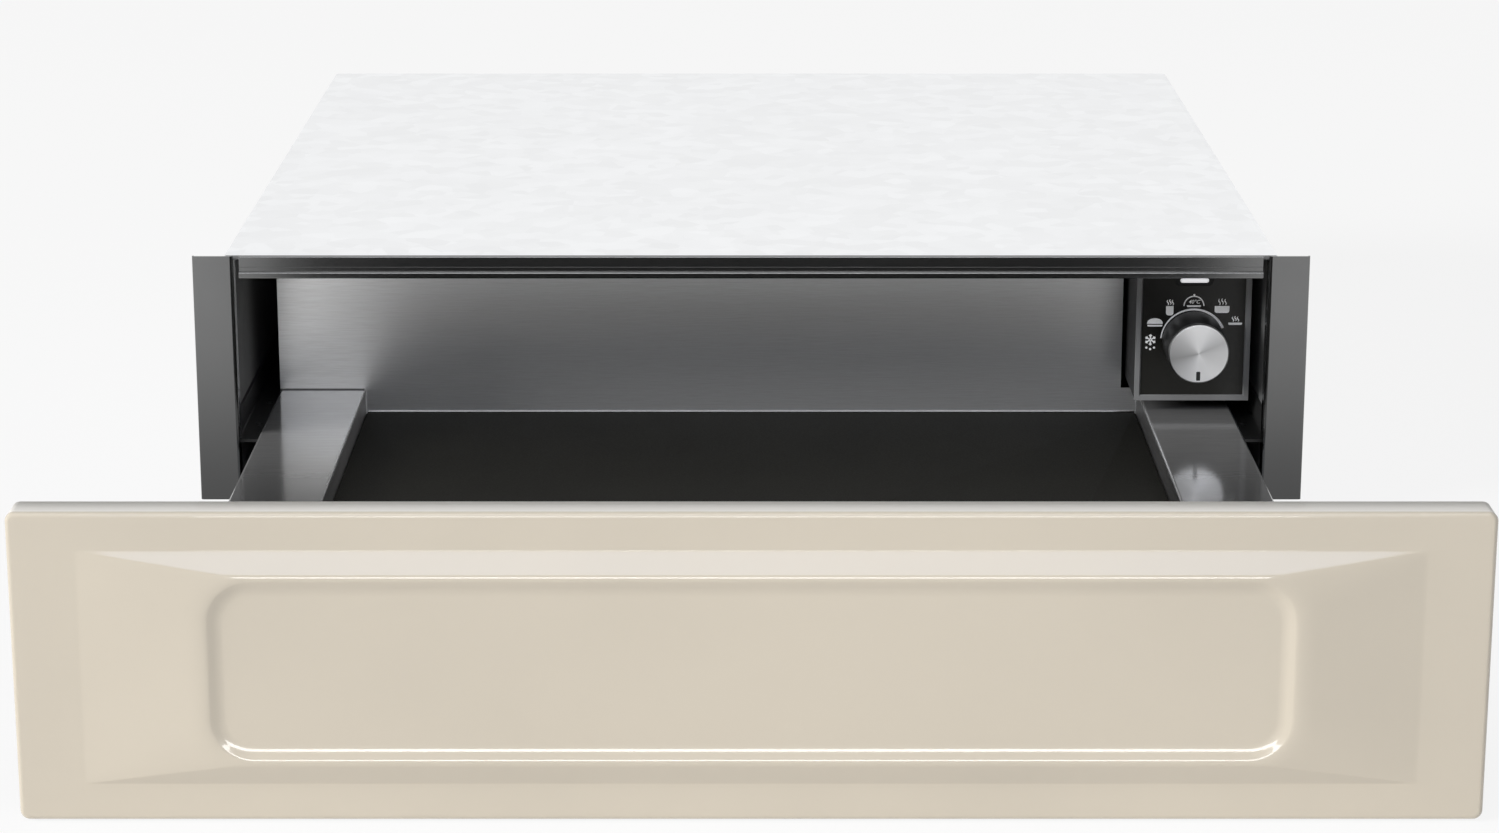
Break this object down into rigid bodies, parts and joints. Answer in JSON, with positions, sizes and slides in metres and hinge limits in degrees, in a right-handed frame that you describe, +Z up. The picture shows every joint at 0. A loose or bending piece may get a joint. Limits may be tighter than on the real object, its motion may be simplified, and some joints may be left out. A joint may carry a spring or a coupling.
{
  "type": "built-in warming drawer",
  "caption": "Low push-to-open warming drawer for a built-in niche: raised-panel cream front, sheet steel casing, stainless tray on ball slides, knob in a side box.",
  "frame": {"origin": "on the underside of the casing, in the middle of its width, in the plane of the cabinet's front", "axes": "+X to the right as seen from the front, +Y from the front to the back, +Z up; the drawer is stored open"},
  "size_m": [0.597, 0.9798, 0.14],
  "materials": {
    "casing_steel": "galvanised sheet, dull spangle",
    "frame_paint": "satin anthracite powder coat",
    "front_enamel": "glossy cream enamel",
    "liner_steel": "satin anthracite coat",
    "tray_steel": "stainless, brushed across the drawer",
    "mat": "matt silicone",
    "carrier_paint": "black powder coat",
    "slide_zinc": "bright zinc plate",
    "ball_steel": "polished balls in a plated cage",
    "box_plastic": "fine texture",
    "bezel_plastic": "satin",
    "fascia_plastic": "gloss with white print",
    "lens": "clear white light guide",
    "board": "lacquered circuit board",
    "thermostat_body": "moulded",
    "spindle_steel": "turned",
    "knob_plastic": "satin",
    "knob_face": "spun, satin",
    "knob_inlay": "matt",
    "motor_iron": "lacquered laminations",
    "coil": "taped copper winding",
    "rotor": "mill finish",
    "heater_sheath": "heat-tinted sheath",
    "hanger_steel": "plain sheet",
    "cutout_body": "moulded",
    "gland_nylon": "matt",
    "terminal_nylon": "satin",
    "loom_sleeve": "braided sleeve",
    "clip_nylon": "satin",
    "latch_plastic": "satin",
    "plunger_plastic": "satin",
    "screw_zinc": "zinc plate"
  },
  "bodies": {
    "housing": {"base_pan": "casing_steel", "top_cover": "casing_steel", "rear_panel": "casing_steel", "air_baffle": "casing_steel", "top_bar": "frame_paint", "side_panel_left": "casing_steel", "side_panel_right": "casing_steel", "post_left": "frame_paint", "post_right": "frame_paint", "rail_carrier_left": "carrier_paint", "rail_carrier_right": "carrier_paint", "rail_outer_left": "slide_zinc", "rail_outer_right": "slide_zinc", "control_box": "box_plastic", "control_bezel": "bezel_plastic", "control_fascia": "fascia_plastic", "indicator_lens": "lens", "lamp_board": "board", "thermostat": "thermostat_body", "fan_motor": "motor_iron", "motor_coil": "coil", "heating_element": "heater_sheath", "heater_brackets": "hanger_steel", "thermal_cutout": "cutout_body", "mains_gland": "gland_nylon", "terminal_block": "terminal_nylon", "wiring_loom": "loom_sleeve", "loom_clips": "clip_nylon", "latch_body": "latch_plastic", "casing_screws": "screw_zinc", "carrier_screws": "screw_zinc", "motor_screws": "screw_zinc"},
    "drawer": {"front_panel": "front_enamel", "front_liner": "liner_steel", "front_stiffener_left": "liner_steel", "front_stiffener_right": "liner_steel", "front_bracket_left": "slide_zinc", "front_bracket_right": "slide_zinc", "tray": "tray_steel", "drawer_back": "tray_steel", "tray_mat": "mat", "tray_runner_left": "slide_zinc", "tray_runner_right": "slide_zinc", "rail_inner_left": "slide_zinc", "rail_inner_right": "slide_zinc", "latch_striker": "slide_zinc", "runner_screws": "screw_zinc", "front_screws": "screw_zinc"},
    "rail_middles": {"rail_middle_left": "slide_zinc", "rail_middle_right": "slide_zinc"},
    "outer_cages": {"outer_ball_cage_left": "ball_steel", "outer_ball_cage_right": "ball_steel"},
    "inner_cages": {"inner_ball_cage_left": "ball_steel", "inner_ball_cage_right": "ball_steel"},
    "knob": {"knob_skirt": "knob_plastic", "knob_cap": "knob_face", "knob_pointer": "knob_inlay", "thermostat_spindle": "spindle_steel"},
    "fan": {"fan_rotor": "rotor"},
    "plunger": {"latch_plunger": "plunger_plastic"}
  },
  "joints": [
    {"name": "drawer_slide", "type": "slide", "parent": "housing", "child": "drawer", "axis": [0, 1, 0], "range_m": [0, 0.405]},
    {"name": "rail_middle_slide", "type": "slide", "parent": "housing", "child": "rail_middles", "axis": [0, 1, 0], "range_m": [0, 0.2025]},
    {"name": "outer_cage_slide", "type": "slide", "parent": "housing", "child": "outer_cages", "axis": [0, 1, 0], "range_m": [0, 0.10125]},
    {"name": "inner_cage_slide", "type": "slide", "parent": "housing", "child": "inner_cages", "axis": [0, 1, 0], "range_m": [0, 0.30375]},
    {"name": "knob_turn", "type": "hinge", "parent": "housing", "child": "knob", "pos_m": [0.232, 0.02, 0.084], "axis": [0, 1, 0], "range_deg": [0, 244]},
    {"name": "fan_spin", "type": "hinge", "parent": "housing", "child": "fan", "pos_m": [0, 0.51, 0.048], "axis": [0, 1, 0], "continuous": true},
    {"name": "plunger_slide", "type": "slide", "parent": "housing", "child": "plunger", "axis": [0, 1, 0], "range_m": [0, 0.004], "stiffness_N_per_m": 300}
  ],
  "couplings": [
    {"joint": "rail_middle_slide", "follows": "drawer_slide", "ratio": 0.5},
    {"joint": "outer_cage_slide", "follows": "drawer_slide", "ratio": 0.25},
    {"joint": "inner_cage_slide", "follows": "drawer_slide", "ratio": 0.75}
  ]
}
